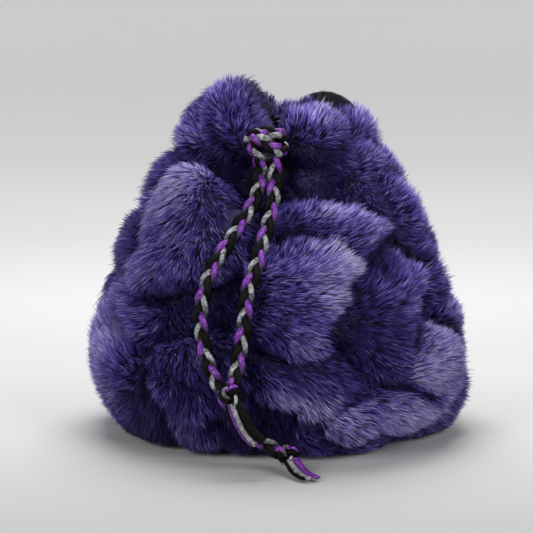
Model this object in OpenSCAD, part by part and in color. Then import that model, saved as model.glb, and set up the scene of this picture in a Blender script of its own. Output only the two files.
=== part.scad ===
// Plush drawstring dice bag: a fur tube on a round base, with a lining inside it.
// The mouth is gathered into outer folds and inner tucks round a braided drawstring.
// The origin is the middle of the base's underside, +Z is up and -Y is the front.

/* [Body] */
// Radius of the bag where the base turns into the wall
base_r = 64; // [58:1:68]
// Radius of the bag at its widest
belly_r = 74; // [70:1:90]
// Height of the widest place
belly_z = 24; // [18:1:30]
// Radius of the bag where the folds start
shoulder_r = 66; // [60:1:70]
// Height at which the folds start
shoulder_z = 72; // [60:1:84]
// Thickness of the fur, hide and pressed pile together
fur_t = 9; // [6:0.5:10]
// Thickness of the fur base
base_t = 8; // [5:0.5:9]
// Thickness of the lining cloth
lining_t = 1; // [0.6:0.1:1.6]
// Radius of the round base piece inside the turned-under wall
base_disc_r = 52; // [46:1:54]

/* [Mouth] */
// Radius under the gathered neck
waist_r = 40; // [38:1:46]
// Height of the place under the neck
waist_z = 107; // [98:1:110]
// Radius of the neck at the drawstring
neck_r = 37; // [35:1:42]
// Height of the neck, right under the drawstring
neck_z = 116; // [114:1:120]
// Radius of the frill above the drawstring
crown_r = 36; // [34:1:42]
// Height of the frill's widest place
crown_z = 126; // [123:1:130]
// Radius of the frill's top edge
lip_r = 30.5; // [28.5:0.5:33]
// Height of the frill's top edge
lip_z = 138; // [133:1:146]
// Thickness of the fur in a fold, measured level
fold_fur_t = 8.4; // [6:0.2:9]
// Thickness of the fur in a tuck, measured level
tuck_fur_t = 6; // [4:0.2:7]
// How far the tucks' top edge stays under the folds' top edge
tuck_drop = 4; // [2:0.5:8]
// Number of folds, and of the tucks between them
folds = 6; // [6]

/* [Drawstring] */
// Thickness of the flat braid in its casing
braid_t = 2.6; // [2:0.1:3.2]
// Width of the flat braid
braid_w = 6; // [4:0.5:7]
// Diameter of the hanging legs of the braid
leg_d = 5; // [4.2:0.1:5]
// Diameter of one strand of the braid
strand_d = 2.4; // [1.8:0.1:2.5]
// Radius of the knots at the ends of the braid
end_knot_r = 4.6; // [4:0.1:4.6]
// Radius of the knot that holds the mouth shut
cinch_r = 4.4; // [3.8:0.1:4.4]
// Length of the knot that holds the mouth shut, from side to side
cinch_w = 13; // [11:0.5:14]
// Width of the gap in the fur that the drawstring leaves through
exit_w = 8; // [7.4:0.2:10]
// How far that gap reaches under the drawstring
exit_below = 8; // [6:0.5:9]
// How far that gap reaches over the drawstring
exit_above = 5; // [4:0.5:8]

/* [Clearances] */
// Gap between cloth pieces that lie on each other
cloth_gap = 0.4; // [0.3:0.1:0.6]
// Gap between the lining of the folds and the fur of the tucks
tuck_gap = 1; // [0.8:0.1:1.5]
// Gap between neighbouring folds or tucks at their narrowest place
side_gap = 0.3; // [0.3:0.05:0.5]
// Width of the side seam between the front and back panels
seam_w = 0.8; // [0.6:0.1:1.2]
// Thickness of the sewing thread
thread_d = 0.6; // [0.4:0.1:0.7]

/* [Hidden] */
$fn = 64;
cord_fn = 24;
leg_sides = 10;
strand_sides = 8;
wall_steps = 8;
ledge_drop = 6;
sector = 360 / folds;
casing_t = braid_t + 2 * cloth_gap;
fold_lining_d = fold_fur_t + casing_t;
tuck_fur_d = fold_lining_d + lining_t + tuck_gap;
tuck_lining_d = tuck_fur_d + tuck_fur_t + cloth_gap;
mouth_d = tuck_lining_d + lining_t;
braid_z = neck_z + braid_w / 2;
casing_r = frill_r(braid_z) - fold_fur_t - casing_t / 2;
fold_z = shoulder_z + cloth_gap;
tuck_z = fold_z + 2 * cloth_gap;
tuck_top_z = lip_z - tuck_drop;
lining_z = base_t + thread_d + cloth_gap;
lining_d = fur_t + cloth_gap;
ledge_z = shoulder_z - ledge_drop;

// Middle of the cinch knot, and the two end knots
cinch_at = [-4, -42.5, 120];
left_knot_at = [3.9, -76.6, 6.4];
right_knot_at = [-16.9, -82, 30.4];
cinch_wrap_r = 1.4;
knot_wrap_r = 1.3;
left_knot_lean = 60;
right_knot_lean = 20;

// Middle line of each leg of the drawstring, from the cinch knot down to its end knot
left_leg_route = [
    [-6.3, -43.2, 114], [-6.2, -44, 108], [-7.2, -48.2, 101.5], [-11, -53, 94], [-16, -57, 87],
    [-21.5, -61.5, 79], [-26, -66, 70.5], [-28, -68.5, 61.5], [-28.2, -70.3, 52.5], [-26.6, -72, 44.5],
    [-24, -73.6, 37], [-20.5, -75, 30], [-15.2, -76.4, 21.5], [-8.5, -76.8, 13.8], [-1, -76.8, 8.9]
];
right_leg_route = [
    [-1, -44, 114], [-0.8, -45.2, 108], [-1, -50, 101.5], [-2, -54.2, 95], [-4.6, -59.5, 86.5],
    [-7.3, -65.8, 77.5], [-10.7, -70.8, 68], [-11.8, -73.2, 59], [-12.9, -74.8, 50], [-14.2, -76.2, 42],
    [-15.6, -79.2, 36.6]
];

// Middle line of each loose strand, from inside its end knot to its cut end
left_tail_routes = [
    [[7, -77.8, 5.4], [9, -81.6, 2.8], [11.6, -86, 1.4], [14.6, -90.4, 1.4]],
    [[4.8, -79.8, 5.2], [6.5, -83.6, 2.6], [8.8, -87.8, 1.4], [11.6, -92, 1.4]],
    [[2.2, -80.2, 5.2], [3.2, -84, 2.6], [5, -87.8, 1.4], [7.2, -91, 1.4]]
];
right_tail_routes = [
    [[-17.8, -82.2, 27.2], [-15.2, -82.8, 21], [-12, -82.8, 15.4], [-8.6, -82.4, 11.4]],
    [[-13.9, -82.4, 28.6], [-10.4, -82.8, 22.6], [-7.5, -82.6, 18.1], [-4.2, -82.2, 14.8]],
    [[-15.8, -83.8, 28], [-12.8, -85.2, 21.4], [-9.8, -85.2, 16.6], [-6.2, -84.8, 12.8]]
];
strand_names = ["purple", "silver", "black"];

fur_colour = [0.21, 0.18, 0.47];
tuck_colour = [0.16, 0.13, 0.36];
lining_colour = [0.05, 0.05, 0.06];
thread_colour = [0.12, 0.1, 0.25];
braid_colour = [0.36, 0.16, 0.58];
strand_colours = [[0.42, 0.15, 0.66], [0.62, 0.62, 0.66], [0.04, 0.04, 0.05]];

// Radius of the bag's outside at a height between the base and the shoulder:
// a quarter of an ellipse under the belly, and a parabola over it
function wall_r(z) = z < belly_z
    ? base_r + (belly_r - base_r) * sqrt(1 - pow(1 - z / belly_z, 2))
    : belly_r - (belly_r - shoulder_r) * pow((z - belly_z) / (shoulder_z - belly_z), 2);

// The wall's line from z0 to z1, moved in by d
function wall_line(d, z0, z1) = [
    for (i = [0:wall_steps]) let (z = z0 + (z1 - z0) * i / wall_steps) [wall_r(z) - d, z]
];

// The mouth's line from the shoulder to the frill, moved in by d, starting at z0
function mouth_line(d, z0) = [
    [shoulder_r - d, z0], [waist_r - d, waist_z], [neck_r - d, neck_z], [crown_r - d, crown_z]
];

// Outside radius of the folds at a height between the neck and the frill
function frill_r(z) = neck_r + (crown_r - neck_r) * (z - neck_z) / (crown_z - neck_z);

function reversed(v) = [for (i = [len(v) - 1:-1:0]) v[i]];

function unit(v) = v / norm(v);

// Direction of a route at its point i
function heading(p, i) = unit(p[min(i + 1, len(p) - 1)] - p[max(i - 1, 0)]);

// A solid of revolution from one bearing to another
module sweep(from, to) {
    rotate([0, 0, from]) rotate_extrude(angle = to - from) children();
}

// A round cord along a route: one ring of corners at each of the route's points
module cord_tube(route, d, side, level) {
    rings = len(route);
    corners = [
        for (i = [0:rings - 1])
            let (t = heading(route, i), u = unit(cross(t, level)), v = cross(u, t))
            for (k = [0:side - 1]) route[i] + d / 2 * (cos(360 * k / side) * u + sin(360 * k / side) * v)
    ];
    skin = [
        for (i = [0:rings - 2], k = [0:side - 1])
            let (n = (k + 1) % side) [i * side + k, i * side + n, (i + 1) * side + n, (i + 1) * side + k]
    ];
    start_cap = [[for (k = [side - 1:-1:0]) k]];
    end_cap = [[for (k = [0:side - 1]) (rings - 1) * side + k]];
    polyhedron(corners, concat(skin, start_cap, end_cap), convexity = 4);
}

// Half of the fur wall, turned under at the base
module fur_wall_section() {
    polygon(concat(
        wall_line(0, 0, shoulder_z),
        reversed(wall_line(fur_t, base_t, shoulder_z)),
        [[base_disc_r + cloth_gap, base_t], [base_disc_r + cloth_gap, 0]]
    ));
}

// Lining wall, with its top turned in under the folds and tucks
module lining_wall_section() {
    polygon(concat(
        wall_line(lining_d, lining_z, ledge_z),
        [[shoulder_r - mouth_d, shoulder_z], [shoulder_r - mouth_d, shoulder_z - lining_t]],
        reversed(wall_line(lining_d + lining_t, lining_z, ledge_z - lining_t))
    ));
}

module half_bag(front) {
    gap = seam_w / 2 / shoulder_r * 180 / PI;
    from = front ? 180 : 0;
    sweep(from + gap, from + 180 - gap) children();
}

module fur_panel_front() {
    color(fur_colour) half_bag(true) fur_wall_section();
}

module fur_panel_back() {
    color(fur_colour) half_bag(false) fur_wall_section();
}

module fur_base() {
    color(fur_colour) cylinder(r = base_disc_r, h = base_t);
}

module lining_front() {
    color(lining_colour) half_bag(true) lining_wall_section();
}

module lining_back() {
    color(lining_colour) half_bag(false) lining_wall_section();
}

module lining_base() {
    color(lining_colour)
        translate([0, 0, lining_z])
            cylinder(r = wall_r(lining_z) - lining_d - lining_t - cloth_gap, h = lining_t);
}

// A line of stitches down each side, on the inner side of the hide between the two panels
module side_seam_thread() {
    half = thread_d / 2 / shoulder_r * 180 / PI;
    color(thread_colour)
        for (side = [0, 180]) sweep(side - half, side + half)
            polygon(concat(
                wall_line(fur_t - thread_d, lining_z, shoulder_z),
                reversed(wall_line(fur_t, lining_z, shoulder_z))
            ));
}

// The round seam that joins the base to the turned-under wall
module base_seam_thread() {
    color(thread_colour)
        rotate_extrude()
            translate([base_disc_r + cloth_gap / 2, base_t + thread_d / 2]) circle(d = thread_d, $fn = cord_fn);
}

// Bearings of fold i and of tuck i, counted from the front
function fold_bearing(i) = -90 - sector / 2 + sector * (i - 1);
function tuck_bearing(i) = -90 + sector * (i - 1);

// One sector of the mouth, with a side gap that is true at radius r
module mouth_sector(bearing, r) {
    half = sector / 2 - side_gap / 2 / r * 180 / PI;
    sweep(bearing - half, bearing + half) children();
}

// The gap that the drawstring leaves through, at the front between the first two folds
module exit_gap() {
    translate([-exit_w / 2, -neck_r - fur_t, braid_z - exit_below])
        cube([exit_w, neck_r + fur_t - casing_r + casing_t, exit_below + exit_above]);
}

module mouth_fold(i) {
    color(fur_colour) difference() {
        mouth_sector(fold_bearing(i), crown_r - tuck_fur_d)
            polygon(concat(
                mouth_line(0, fold_z),
                [[lip_r, lip_z], [crown_r - fold_fur_t, lip_z]],
                reversed(mouth_line(fold_fur_t, fold_z))
            ));
        if (i <= 2) exit_gap();
    }
}

module fold_lining(i) {
    color(lining_colour) mouth_sector(fold_bearing(i), crown_r - tuck_fur_d)
        polygon(concat(
            mouth_line(fold_lining_d, fold_z),
            [[crown_r - fold_lining_d, lip_z], [crown_r - fold_lining_d - lining_t, lip_z]],
            reversed(mouth_line(fold_lining_d + lining_t, fold_z))
        ));
}

// The stretch of the flat braid in one fold's casing, with rounded edges
module neck_braid(i) {
    color(braid_colour) difference() {
        mouth_sector(fold_bearing(i), crown_r - tuck_fur_d)
            translate([casing_r, braid_z]) {
                square([braid_t, braid_w - braid_t], center = true);
                for (s = [-1, 1]) translate([0, s * (braid_w - braid_t) / 2]) circle(d = braid_t, $fn = cord_fn);
            }
        if (i <= 2) exit_gap();
    }
}

module mouth_tuck(i) {
    color(tuck_colour) mouth_sector(tuck_bearing(i), crown_r - mouth_d)
        polygon(concat(
            mouth_line(tuck_fur_d, tuck_z),
            [[crown_r - tuck_fur_d, tuck_top_z], [crown_r - tuck_fur_d - tuck_fur_t, tuck_top_z]],
            reversed(mouth_line(tuck_fur_d + tuck_fur_t, tuck_z))
        ));
}

module tuck_lining(i) {
    color(lining_colour) mouth_sector(tuck_bearing(i), crown_r - mouth_d)
        polygon(concat(
            mouth_line(tuck_lining_d, tuck_z),
            [[crown_r - tuck_lining_d, tuck_top_z], [crown_r - mouth_d, tuck_top_z]],
            reversed(mouth_line(mouth_d, tuck_z))
        ));
}

// The knot that holds the mouth shut, with the two ends of the braid that come out of the casing behind it
module cinch_knot() {
    stub_front = cinch_at[1] + cinch_r * 2 / 3;
    straight = cinch_w - 2 * cinch_r;
    color(braid_colour) union() {
        translate([-braid_t, stub_front, braid_z - braid_w / 2])
            cube([2 * braid_t, -casing_r - stub_front, braid_w]);
        translate(cinch_at) rotate([0, 90, 0]) {
            cylinder(r = cinch_r, h = straight, center = true);
            for (s = [-1, 1]) translate([0, 0, s * straight / 2]) sphere(r = cinch_r);
            rotate_extrude() translate([cinch_r - cinch_wrap_r / 2, 0]) circle(r = cinch_wrap_r, $fn = cord_fn);
        }
    }
}

module braid_leg(route) {
    color(braid_colour) cord_tube(route, leg_d, leg_sides, [0, 1, 0]);
}

// A round knot with one turn of the braid standing proud round it
module end_knot(at, lean) {
    color(braid_colour) translate(at) rotate([0, lean, 0]) {
        sphere(r = end_knot_r - knot_wrap_r / 2);
        rotate_extrude() translate([end_knot_r - knot_wrap_r, 0]) circle(r = knot_wrap_r, $fn = cord_fn);
    }
}

module tail(route, s, level) {
    color(strand_colours[s]) cord_tube(route, strand_d, strand_sides, level);
}

fur_panel_front();
fur_panel_back();
fur_base();
lining_front();
lining_back();
lining_base();
side_seam_thread();
base_seam_thread();
for (i = [1:folds]) {
    mouth_fold(i);
    fold_lining(i);
    neck_braid(i);
    mouth_tuck(i);
    tuck_lining(i);
}
cinch_knot();
braid_leg(left_leg_route);  // braid_leg_left
braid_leg(right_leg_route);  // braid_leg_right
end_knot(left_knot_at, left_knot_lean);  // end_knot_left
end_knot(right_knot_at, right_knot_lean);  // end_knot_right
for (s = [0:2]) {
    tail(left_tail_routes[s], s, [0, 0, 1]);
    tail(right_tail_routes[s], s, [0, 1, 0]);
}
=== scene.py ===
# %% [markdown]
# # A plush drawstring dice bag
# The bag is a tube of long-pile fur cloth on a round base, gathered at the top by a flat braid of
# three satin cords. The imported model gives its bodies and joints; this lesson gives it its looks.
# Every length below is in metres, and `MM` turns the round numbers of the pattern into metres.

# %% Load the fixed frame
import math
import bpy
import numpy as np
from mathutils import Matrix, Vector, kdtree


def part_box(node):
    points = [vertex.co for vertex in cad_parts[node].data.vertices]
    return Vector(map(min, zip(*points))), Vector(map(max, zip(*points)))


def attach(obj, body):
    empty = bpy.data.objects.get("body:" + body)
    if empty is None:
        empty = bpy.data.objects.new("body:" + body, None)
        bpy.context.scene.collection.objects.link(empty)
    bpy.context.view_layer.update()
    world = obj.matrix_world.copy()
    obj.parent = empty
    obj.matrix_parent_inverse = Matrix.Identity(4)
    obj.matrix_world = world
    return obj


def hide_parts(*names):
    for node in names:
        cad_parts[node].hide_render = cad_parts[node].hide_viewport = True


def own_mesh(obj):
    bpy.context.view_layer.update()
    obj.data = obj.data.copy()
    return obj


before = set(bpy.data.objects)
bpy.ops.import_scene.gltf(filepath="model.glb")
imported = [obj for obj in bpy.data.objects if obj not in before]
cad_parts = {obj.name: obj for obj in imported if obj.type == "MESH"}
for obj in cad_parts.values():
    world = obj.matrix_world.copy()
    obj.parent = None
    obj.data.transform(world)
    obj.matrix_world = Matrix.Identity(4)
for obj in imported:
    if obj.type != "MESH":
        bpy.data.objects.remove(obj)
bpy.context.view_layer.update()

MM = 0.001
FOLDS = 6
rng = np.random.default_rng(7)
bpy.ops.object.select_all(action="DESELECT")

# %% [markdown]
# ## The driving sizes
# The wall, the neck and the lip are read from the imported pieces, so the cloth follows the frame.
# Reading them is better than typing them again, because a change in the frame then moves the looks too.

# %% Read the driving sizes from the frame
wall_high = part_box("fur_panel_front")[1]
neck_low, neck_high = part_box("neck_braid_4")
shoulder_z = wall_high.z
neck_z = (neck_low.z + neck_high.z) / 2
lip_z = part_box("mouth_fold_4")[1].z
belly_r = wall_high.x
pile = 7.5 * MM
print("shoulder, neck and lip heights in mm:", [round(v / MM, 1) for v in (shoulder_z, neck_z, lip_z)])

# %% [markdown]
# ## The camera
# A long lens about a metre away, a little above the table, keeps the perspective as quiet as in a
# catalogue picture. It comes first because the cords are checked against what it sees.

# %% Set the camera
camera_tilt = math.radians(10)
camera_distance = 1.0
aim = Vector((-3.8 * MM, 0, 0.4665 * lip_z))
camera_data = bpy.data.cameras.new("camera")
camera_data.sensor_width = 36
camera_data.lens = 168.9
camera = bpy.data.objects.new("camera", camera_data)
bpy.context.scene.collection.objects.link(camera)
away = Vector((0, -math.cos(camera_tilt), math.sin(camera_tilt)))
camera.location = aim + camera_distance * away
camera.rotation_euler = (-away).to_track_quat("-Z", "Y").to_euler()
bpy.context.scene.camera = camera
print("camera height in mm:", round(camera.location.z / MM))

# %% [markdown]
# ## Small tools for cloth and cord
# Fur, hide and braid are all made of many points that follow a rule. These helpers turn arrays of
# points into meshes quickly, say where a piece belongs, smooth a route given by points, and give a soft
# random field for variation.

# %% Turn arrays into meshes
def mesh_piece(name, points, faces):
    """A smooth-shaded mesh object from point rows and equal-sided face rows."""
    data = bpy.data.meshes.new(name)
    points = np.asarray(points, np.float32)
    faces = np.asarray(faces, np.int32)
    data.vertices.add(len(points))
    data.vertices.foreach_set("co", points.ravel())
    data.loops.add(faces.size)
    data.loops.foreach_set("vertex_index", faces.ravel())
    data.polygons.add(len(faces))
    data.polygons.foreach_set("loop_start", np.arange(0, faces.size, faces.shape[1], dtype=np.int32))
    data.polygons.foreach_set("use_smooth", np.ones(len(faces), bool))
    data.update(calc_edges=True)
    piece = bpy.data.objects.new(name, data)
    bpy.context.scene.collection.objects.link(piece)
    return piece


def merge(meshes):
    """Points and faces of several meshes as one mesh."""
    starts = np.cumsum([0] + [len(points) for points, _ in meshes])
    faces = [some + start for (_, some), start in zip(meshes, starts)]
    return np.vstack([points for points, _ in meshes]), np.vstack(faces)


# %% Say where a piece belongs
def stand_in(piece, body, kind, *nodes):
    """Lets a piece ride on a body and puts it in the place of plain nodes; its kind is not used."""
    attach(piece, body)
    if nodes:
        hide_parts(*nodes)


# %% Measure along lines and over grids
def unit(v):
    """Each row of v at length one."""
    return v / np.maximum(np.linalg.norm(v, axis=-1, keepdims=True), 1e-12)


def distances(line):
    """How far along a line each of its points lies."""
    return np.concatenate([[0], np.cumsum(np.linalg.norm(np.diff(line, axis=0), axis=1))])


def cell_areas(grid):
    """The area of each cell of a grid of points."""
    corner = grid[:-1, :-1]
    return np.linalg.norm(np.cross(grid[1:, :-1] - corner, grid[:-1, 1:] - corner), axis=-1)


def turned(line, bearings):
    """A grid made by turning (radius, height) points round the axis, and the outward way at each bearing."""
    angle = np.radians(bearings)
    ring = np.stack([np.cos(angle), np.sin(angle), 0 * angle], -1)
    return line[:, 0, None, None] * ring + line[:, 1, None, None] * np.array([0, 0, 1.0]), ring


# %% Give a soft random field
big_primes = (73856093, 19349663, 83492791, 2654435761)


def lattice(cells, seed):
    """A repeatable random number from 0 to 1 for each whole-numbered cell."""
    x, y, z = np.moveaxis(cells.astype(np.int64), -1, 0)
    mixed = x * big_primes[0] ^ y * big_primes[1] ^ z * big_primes[2] ^ seed * big_primes[3]
    mixed = (mixed ^ (mixed >> 13)) * 1274126177
    return ((mixed ^ (mixed >> 16)) & 0xFFFFFF) / 0xFFFFFF


def soft_field(points, size, seed):
    """Smooth noise from -1 to 1 over space, with lumps of about that size."""
    scaled = points / size
    low = np.floor(scaled)
    part = scaled - low
    part = part * part * (3 - 2 * part)
    total = np.zeros(points.shape[:-1])
    for corner in np.ndindex(2, 2, 2):
        corner = np.array(corner)
        share = np.prod(np.where(corner, part, 1 - part), axis=-1)
        total += share * lattice(low + corner, seed)
    return 2 * total - 1


# %% Smooth a route given by points
def smooth_route(points, step, fineness=24):
    """A curve through the points, worked out finely, then with new points about a step apart."""
    p = np.array(points, float)
    p = np.vstack([2 * p[0] - p[1], p, 2 * p[-1] - p[-2]])
    t = np.linspace(0, 1, fineness, endpoint=False)[:, None]
    fine = []
    for a, b, c, d in zip(p, p[1:], p[2:], p[3:]):
        fine.append(0.5 * (2 * b + (c - a) * t + (2 * a - 5 * b + 4 * c - d) * t**2
                           + (3 * b - a - 3 * c + d) * t**3))
    fine = np.vstack(fine + [p[-2:-1]])
    along = distances(fine)
    at = np.linspace(0, along[-1], max(2, round(along[-1] / step)) + 1)
    return np.stack([np.interp(at, along, fine[:, k]) for k in range(3)], axis=1)


def route_frame(line, outward):
    """Heading, sideways and outward directions along a line, for a cord that lies on a body."""
    heading = unit(np.gradient(line, axis=0))
    side = unit(np.cross(heading, outward))
    return heading, side, np.cross(side, heading)


def route_length(line):
    return float(np.linalg.norm(np.diff(line, axis=0), axis=1).sum())


# %% Sweep a closed tube along a line
def tube(line, outward, half_width, half_height, sides=10):
    """Points and faces of a closed tube with an oval section."""
    _, side, out = route_frame(line, outward)
    turn = np.linspace(0, 2 * np.pi, sides, endpoint=False)
    ring = (np.cos(turn)[None, :, None] * side[:, None] * np.reshape(half_width, (-1, 1, 1))
            + np.sin(turn)[None, :, None] * out[:, None] * np.reshape(half_height, (-1, 1, 1)))
    rings = line[:, None] + ring
    points = np.vstack([rings.reshape(-1, 3), line[:1], line[-1:]])
    n = len(line)
    i, k = np.meshgrid(np.arange(n - 1), np.arange(sides), indexing="ij")
    a, b = i * sides + k, i * sides + (k + 1) % sides
    c, d = a + sides, b + sides
    walls = [np.stack([a, c, b], -1).reshape(-1, 3), np.stack([b, c, d], -1).reshape(-1, 3)]
    k = np.arange(sides)
    after = (k + 1) % sides
    far = (n - 1) * sides
    ends = [np.stack([np.full(sides, n * sides), k, after], -1),
            np.stack([np.full(sides, n * sides + 1), far + after, far + k], -1)]
    return points, np.concatenate(walls + ends)

# %% [markdown]
# ## Finishes
# The fur is not one colour: a hair is nearly black at the root, deep violet-blue along its length
# and lavender at the tip, and some patches are paler than others. This is partly the cloth's own frosted
# colour and partly painted light: painted shade deep in the pile at the roots, and painted sheen on the
# pale tips and patches where the hair catches the light. Each hair carries its own small map:
# across the map is how pale the hair is, and up the map is how far along the hair a point lies.
# The satin cords have a smooth, bright sheath with a fine crumple, whose glints and dark folds are painted
# as bright and dark flecks, with painted shade where a cord dives under another; the lining is a thin black
# satin.

# %% Start a finish and mix colours in it
def new_material(name):
    material = bpy.data.materials.new(name)
    material.use_nodes = True
    tree = material.node_tree
    return material, tree.nodes, tree.links, tree.nodes["Principled BSDF"]


def set_inputs(node, values):
    for name, value in values.items():
        node.inputs[name].default_value = value


def ramp(nodes, links, share, stops):
    """The colour at a share from 0 to 1, between the colours of its stops."""
    node = nodes.new("ShaderNodeValToRGB")
    while len(node.color_ramp.elements) < len(stops):
        node.color_ramp.elements.new(0.5)
    for element, (place, colour) in zip(node.color_ramp.elements, stops):
        element.position = place
        element.color = (*colour, 1)
    links.new(share, node.inputs[0])
    return node.outputs[0]


def grey_ramp(nodes, links, share, stops):
    return ramp(nodes, links, share, [(place, (grey, grey, grey)) for place, grey in stops])


def mix_colour(nodes, links, share, first, second):
    node = nodes.new("ShaderNodeMix")
    node.data_type = "RGBA"
    for socket, value in ((node.inputs[0], share), (node.inputs[6], first), (node.inputs[7], second)):
        links.new(value, socket)
    return node.outputs[2]


# %% Make lumps and a fine relief
def noise(nodes, links, scale, detail=2.0, rough=0.5):
    """Random lumps that keep still on the piece."""
    where = nodes.new("ShaderNodeTexCoord")
    lumps = nodes.new("ShaderNodeTexNoise")
    set_inputs(lumps, {"Scale": scale, "Detail": detail, "Roughness": rough})
    links.new(where.outputs["Object"], lumps.inputs["Vector"])
    return lumps.outputs[0]


def relieve(nodes, links, shader, height, strength, depth):
    """Lets a height shade the surface as a fine relief."""
    bump = nodes.new("ShaderNodeBump")
    set_inputs(bump, {"Strength": strength, "Distance": depth})
    links.new(height, bump.inputs["Height"])
    links.new(bump.outputs[0], shader.inputs["Normal"])


# %% Mix the fur finish
def fur_material():
    """Across the hair's map its colour goes from dark to pale, and up the map from a root darkened as painted
    shade to a tip paled partly as painted sheen.
    """
    material, nodes, links, shader = new_material("violet_fur")
    where = nodes.new("ShaderNodeUVMap")
    where.uv_map = "OFBake"
    split = nodes.new("ShaderNodeSeparateXYZ")
    links.new(where.outputs[0], split.inputs[0])
    pale, along = split.outputs[0], split.outputs[1]
    root = ramp(nodes, links, pale, [(0.0, (0.002, 0.001, 0.008)), (1.0, (0.014, 0.010, 0.050))])
    body = ramp(nodes, links, pale, [(0.0, (0.005, 0.003, 0.030)), (0.30, (0.040, 0.028, 0.222)),
                                     (0.65, (0.145, 0.110, 0.525)), (1.0, (0.460, 0.390, 0.780))])
    tip = ramp(nodes, links, pale, [(0.0, (0.016, 0.010, 0.090)), (0.30, (0.122, 0.087, 0.500)),
                                    (0.65, (0.385, 0.315, 0.815)), (1.0, (0.860, 0.790, 1.0))])
    rise = grey_ramp(nodes, links, along, [(0.12, 0), (0.62, 1)])
    fade = grey_ramp(nodes, links, along, [(0.45, 0), (0.95, 1)])
    low = mix_colour(nodes, links, rise, root, body)
    links.new(mix_colour(nodes, links, fade, low, tip), shader.inputs["Base Color"])
    set_inputs(shader, {"Roughness": 0.5, "Specular IOR Level": 0.12, "Sheen Weight": 0.05,
                        "Sheen Tint": (0.75, 0.65, 1.0, 1), "Sheen Roughness": 0.4})
    return material


fur_finish = fur_material()
print("fur finish mixed")


# %% Mix the hide, lining and thread finishes
def cloth_material(name, colour, dark, rough, sheen, weave, depth):
    """A woven or knitted cloth: a fine weave in the relief and slow patches in the colour."""
    material, nodes, links, shader = new_material(name)
    patches = noise(nodes, links, scale=60)
    tint = ramp(nodes, links, patches, [(0.35, dark), (0.65, colour)])
    links.new(tint, shader.inputs["Base Color"])
    threads = noise(nodes, links, scale=weave, detail=3)
    relieve(nodes, links, shader, threads, strength=0.4, depth=depth)
    set_inputs(shader, {"Roughness": rough, "Sheen Weight": sheen})
    return material


hide_finish = cloth_material("violet_hide", colour=(0.030, 0.022, 0.110), dark=(0.015, 0.011, 0.060),
                             rough=0.9, sheen=0.2, weave=900, depth=0.3 * MM)
lining_finish = cloth_material("black_satin_lining", colour=(0.020, 0.021, 0.024), dark=(0.008, 0.008, 0.010),
                               rough=0.30, sheen=0.3, weave=1800, depth=0.1 * MM)
thread_finish = cloth_material("violet_thread", colour=(0.060, 0.045, 0.160), dark=(0.030, 0.024, 0.090),
                               rough=0.6, sheen=0.3, weave=2500, depth=0.1 * MM)


# %% Mix the satin of the three cords
def satin_cord(name, bright, dark, speck, share, rough, gleam=0.5):
    """A satin sheath with a crumpled shine: painted glints and painted shade in bright and dark flecks, and
    painted shade where it dives in the plait.
    """
    material, nodes, links, shader = new_material(name)
    # the same lumps give painted glints and painted shade in the colour, and a real relief
    crumple_and_glints = noise(nodes, links, scale=speck, detail=4, rough=0.7)
    tint = ramp(nodes, links, crumple_and_glints, [(share - 0.08, dark), (share + 0.10, bright)])
    # painted shade where the cord dives under the others, full colour on its top
    crown = nodes.new("ShaderNodeAttribute")
    crown.attribute_name = "crown"
    lit = grey_ramp(nodes, links, crown.outputs["Fac"], [(0.1, 0.06), (0.55, 0.42), (0.95, 1.0)])
    shaded = nodes.new("ShaderNodeMix")
    shaded.data_type = "RGBA"
    shaded.blend_type = "MULTIPLY"
    shaded.inputs[0].default_value = 1.0
    links.new(tint, shaded.inputs[6])
    links.new(lit, shaded.inputs[7])
    links.new(shaded.outputs[2], shader.inputs["Base Color"])
    relieve(nodes, links, shader, crumple_and_glints, strength=0.8, depth=0.35 * MM)
    set_inputs(shader, {"Roughness": rough, "Specular IOR Level": gleam})
    return material


satins = (satin_cord("purple_satin", bright=(0.320, 0.048, 0.600), dark=(0.050, 0.006, 0.115),
                     speck=1000, share=0.50, rough=0.34),
          satin_cord("silver_satin", bright=(0.480, 0.490, 0.520), dark=(0.075, 0.077, 0.085),
                     speck=800, share=0.50, rough=0.34),
          satin_cord("black_satin", bright=(0.010, 0.010, 0.011), dark=(0.0015, 0.0015, 0.0015),
                     speck=1100, share=0.54, rough=0.50, gleam=0.09))
print("finishes:", len(bpy.data.materials))

# %% [markdown]
# ## The drawstring
# Three satin cords are plaited flat. In a flat plait each cord swings from edge to edge once in a
# period, and dips under and over twice, so a sine sideways and a doubled sine outwards give its line.
# The legs hang from the knot at the neck and lie against the front of the bag under their own weight.

# %% Repeat the routes of the two legs and the tails
left_leg_route = np.array([
    (-6.3, -43.2, 114), (-6.2, -44, 108), (-7.2, -48.2, 101.5), (-11, -53, 94), (-16, -57, 87),
    (-21.5, -61.5, 79), (-26, -66, 70.5), (-28, -68.5, 61.5), (-28.2, -70.3, 52.5), (-26.6, -72, 44.5),
    (-24, -73.6, 37), (-20.5, -75, 30), (-15.2, -76.4, 21.5), (-8.5, -76.8, 13.8), (-1, -76.8, 8.9)]) * MM
right_leg_route = np.array([
    (-1, -44, 114), (-0.8, -45.2, 108), (-1, -50, 101.5), (-2, -54.2, 95), (-4.6, -59.5, 86.5),
    (-7.3, -65.8, 77.5), (-10.7, -70.8, 68), (-11.8, -73.2, 59), (-12.9, -74.8, 50), (-14.2, -76.2, 42),
    (-15.6, -79.2, 36.6)]) * MM
left_tail_routes = np.array([
    [(7, -77.8, 5.4), (9.2, -81.6, 3.0), (12, -86, 1.4), (15, -90, 1.2)],
    [(4.8, -79.8, 5.2), (6.8, -83.6, 2.8), (9.4, -87.8, 1.4), (12.2, -91.8, 1.2)],
    [(3.4, -79.9, 4.8), (5.2, -83.6, 2.2), (7.6, -87.8, 1.1), (10, -91.4, 1.1)]]) * MM
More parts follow.
